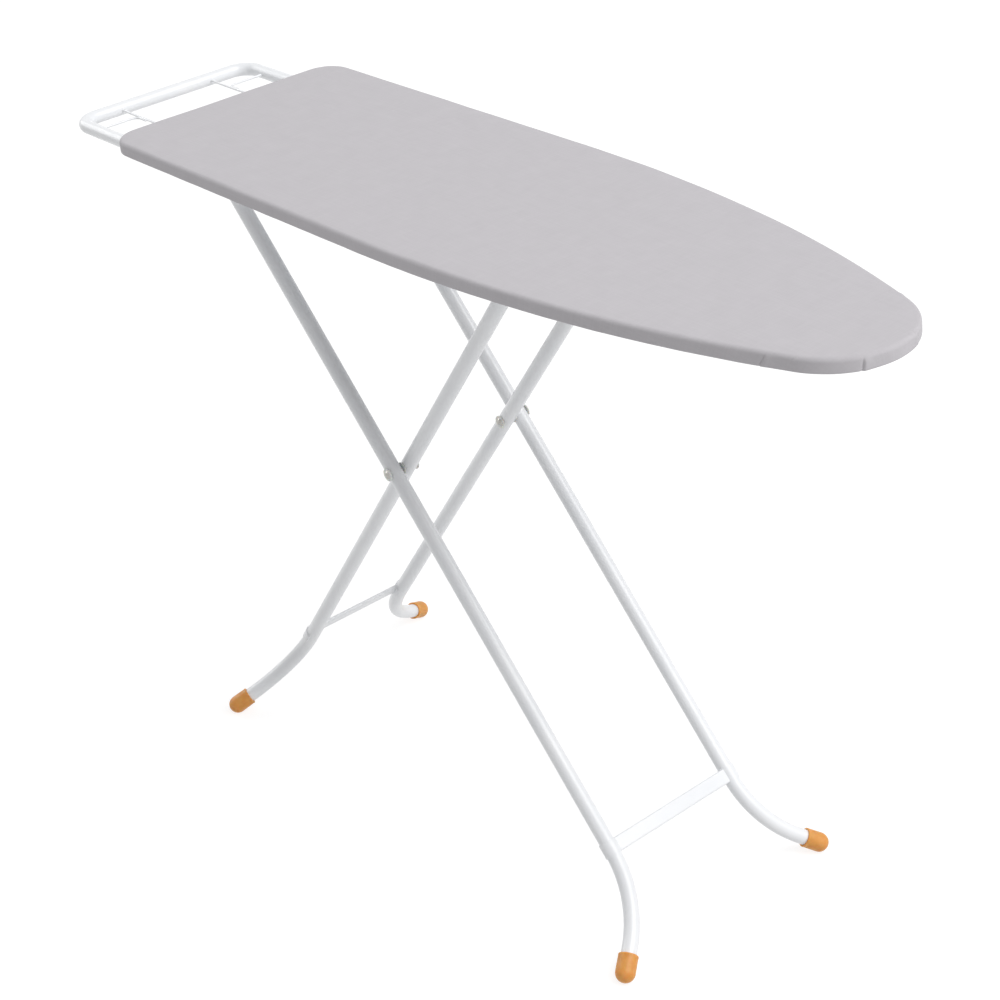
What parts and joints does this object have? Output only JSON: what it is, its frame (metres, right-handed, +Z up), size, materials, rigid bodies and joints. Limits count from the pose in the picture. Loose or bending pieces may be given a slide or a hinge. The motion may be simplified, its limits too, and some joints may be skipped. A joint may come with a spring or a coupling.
{
  "type": "folding ironing board",
  "caption": "Folding ironing board: padded, covered top with a round nose on two crossing tube leg frames with outward feet and an iron rest.",
  "frame": {"origin": "on the floor, under the middle of the object's whole length and width, iron rest included", "axes": "+X towards the round nose, -X towards the iron rest, +Y to the left of someone looking along +X, +Z up from the floor"},
  "size_m": [1.256, 0.348, 0.83],
  "materials": {
    "cotton_cover": "plain-woven cotton, matt",
    "elastic": "braided elastic",
    "felt_pad": "needled felt",
    "coated_sheet": "light grey powder coat on pressed sheet",
    "white_powder_coat": "white powder coat, semi-gloss",
    "orange_plastic": "moulded plastic, satin",
    "dark_nylon": "moulded nylon",
    "white_nylon": "moulded nylon",
    "rivet_steel": "plain steel",
    "drawn_rod": "bright drawn steel",
    "zinc_plate": "zinc-plated pressed steel"
  },
  "bodies": {
    "board": {"bracket_rivets": "rivet_steel", "cover": "cotton_cover", "front_rib": "coated_sheet", "front_rod_bracket": "zinc_plate", "guide_rod_left": "drawn_rod", "guide_rod_right": "drawn_rod", "hem_elastic": "elastic", "hinge_bearing_left": "dark_nylon", "hinge_bearing_right": "dark_nylon", "hinge_rib": "coated_sheet", "hinge_rivets": "rivet_steel", "hinge_strap_left": "zinc_plate", "hinge_strap_right": "zinc_plate", "lock_rod": "drawn_rod", "middle_rib": "coated_sheet", "pad": "felt_pad", "rear_rib": "coated_sheet", "rear_rod_bracket": "zinc_plate", "rest_clips": "zinc_plate", "rest_frame": "white_powder_coat", "rest_rivets": "rivet_steel", "rest_wires": "white_powder_coat", "rim_channel": "coated_sheet", "slide_rib": "coated_sheet", "top_panel": "coated_sheet"},
    "outer_frame": {"hinge_tube": "white_powder_coat", "outer_foot_cap_left": "orange_plastic", "outer_foot_cap_right": "orange_plastic", "outer_leg_left": "white_powder_coat", "outer_leg_right": "white_powder_coat", "outer_spreader": "white_powder_coat"},
    "inner_frame": {"axle_lugs": "white_powder_coat", "inner_foot_cap_left": "orange_plastic", "inner_foot_cap_right": "orange_plastic", "inner_leg_left": "white_powder_coat", "inner_leg_right": "white_powder_coat", "inner_spreader": "white_powder_coat", "scissor_rivets": "rivet_steel", "scissor_washers": "white_nylon", "slide_axle": "rivet_steel"},
    "carriage": {"carriage_plate": "zinc_plate", "carriage_screws": "rivet_steel", "lever_pin": "rivet_steel", "lever_spring": "zinc_plate", "lock_housing": "zinc_plate", "slide_shoe_left": "dark_nylon", "slide_shoe_right": "dark_nylon"},
    "lever": {"lever_grip": "orange_plastic", "lock_plate": "zinc_plate", "release_lever": "zinc_plate"}
  },
  "joints": [
    {"name": "frame_fold", "type": "hinge", "parent": "board", "child": "outer_frame", "pos_m": [-0.30067, 0, 0.776], "axis": [0, -1, 0], "range_deg": [0, 49.7]},
    {"name": "scissor_pivot", "type": "hinge", "parent": "outer_frame", "child": "inner_frame", "pos_m": [-0.061, 0, 0.48319], "axis": [0, -1, 0], "range_deg": [-99.4, 0]},
    {"name": "axle_turn", "type": "hinge", "parent": "inner_frame", "child": "carriage", "pos_m": [0.17866, 0, 0.776], "axis": [0, -1, 0], "range_deg": [0, 49.7]},
    {"name": "lever_lift", "type": "hinge", "parent": "carriage", "child": "lever", "pos_m": [0.15266, 0, 0.773], "axis": [0, 1, 0], "range_deg": [0, 8.5], "stiffness_Nm_per_rad": 1, "springref_deg": -28.65, "deforming": ["lever_spring"]}
  ],
  "couplings": [
    {"joint": "scissor_pivot", "follows": "frame_fold", "ratio": -2},
    {"joint": "axle_turn", "follows": "frame_fold", "ratio": 1}
  ]
}
